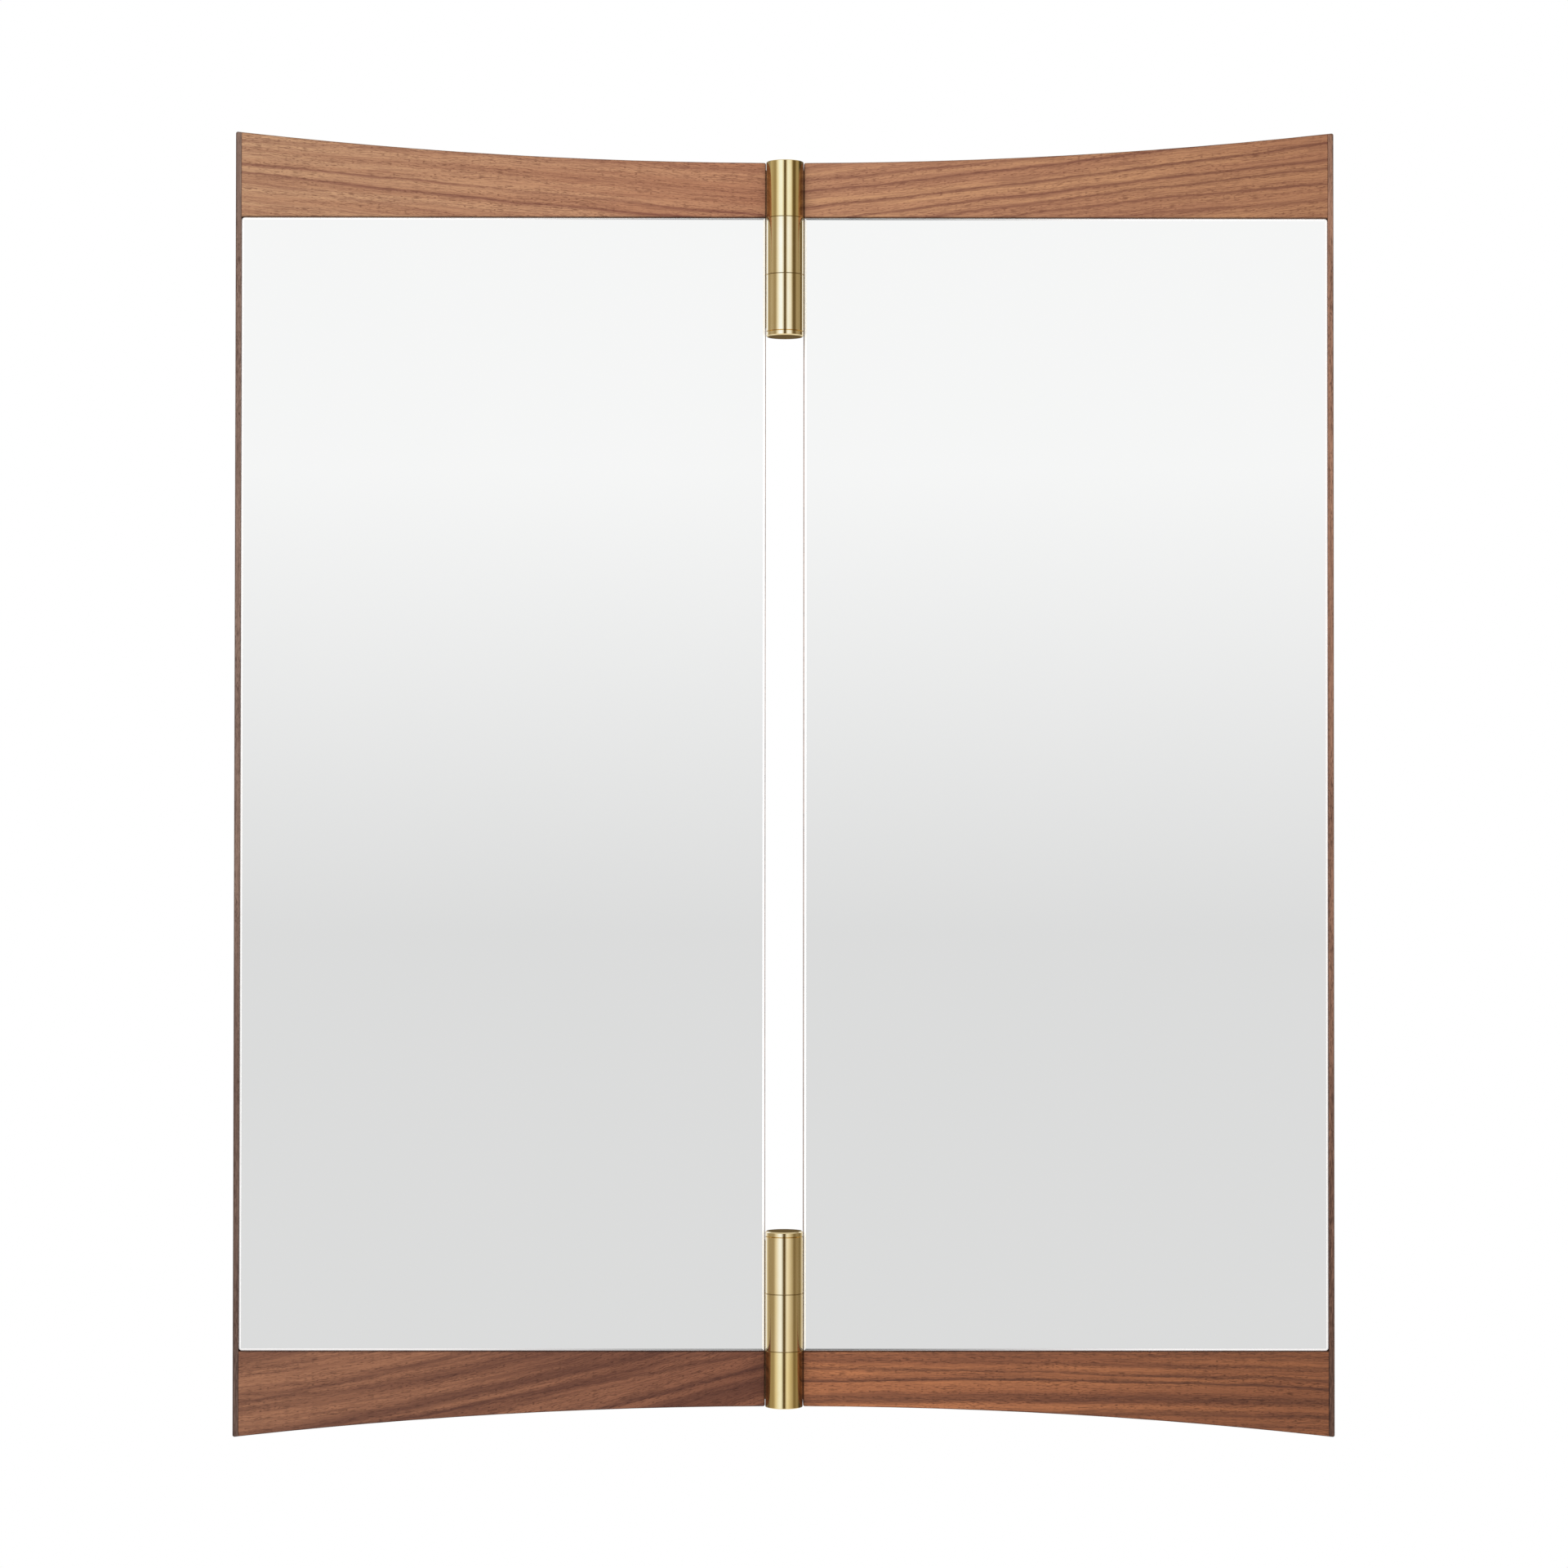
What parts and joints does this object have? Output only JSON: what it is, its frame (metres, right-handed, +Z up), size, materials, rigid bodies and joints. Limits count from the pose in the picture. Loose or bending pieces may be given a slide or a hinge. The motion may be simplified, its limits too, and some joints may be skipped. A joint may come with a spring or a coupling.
{
  "type": "folding wall mirror",
  "caption": "Wall-hung vanity mirror of hinged walnut leaves with bowed top and bottom rails, frameless glass at the fold and large turned brass barrel hinges; one leaf swings",
  "frame": {"origin": "centre of the bounding box of the open mirror: on the upright plane through the hinge axis, at mid-height and mid-depth", "axes": "+X to the viewer's right, +Y from the room to the wall (the glass faces -Y), +Z up; the hinge axis is parallel to Z at X = 0"},
  "size_m": [0.59, 0.031, 0.6998],
  "materials": {
    "walnut": "oiled walnut, satin",
    "core": "black-brown stained fibreboard, matt",
    "mirror": "silvered float glass with polished arris",
    "tape": "white foam tape",
    "beech": "plain beech",
    "rubber": "soft black rubber",
    "brass": "polished, lightly brushed along the turning",
    "steel": "zinc plated",
    "nylon": "natural nylon"
  },
  "bodies": {
    "fixed_leaf": {"left_top_rail": "walnut", "left_bottom_rail": "walnut", "left_outer_strip": "walnut", "left_inner_strip": "walnut", "left_core_board": "core", "left_mirror_glass": "mirror", "left_mirror_tape": "tape", "left_loose_tenons": "beech", "left_wall_bumpers": "rubber", "outer_knuckles": "brass", "inner_knuckles": "brass", "end_caps": "brass", "hinge_pins": "steel", "fixed_plates": "brass", "hanger_plates": "steel", "hanger_screws": "steel", "fixed_plate_screws": "steel"},
    "swing_leaf": {"right_top_rail": "walnut", "right_bottom_rail": "walnut", "right_outer_strip": "walnut", "right_inner_strip": "walnut", "right_core_board": "core", "right_mirror_glass": "mirror", "right_mirror_tape": "tape", "right_loose_tenons": "beech", "right_wall_bumpers": "rubber", "centre_knuckles": "brass", "knuckle_bushes": "nylon", "swing_plates": "brass", "swing_plate_screws": "steel"}
  },
  "joints": [
    {"name": "leaf_swing", "type": "hinge", "parent": "fixed_leaf", "child": "swing_leaf", "pos_m": [0, -0.0055, 0], "axis": [0, 0, -1], "range_deg": [0, 170]}
  ]
}
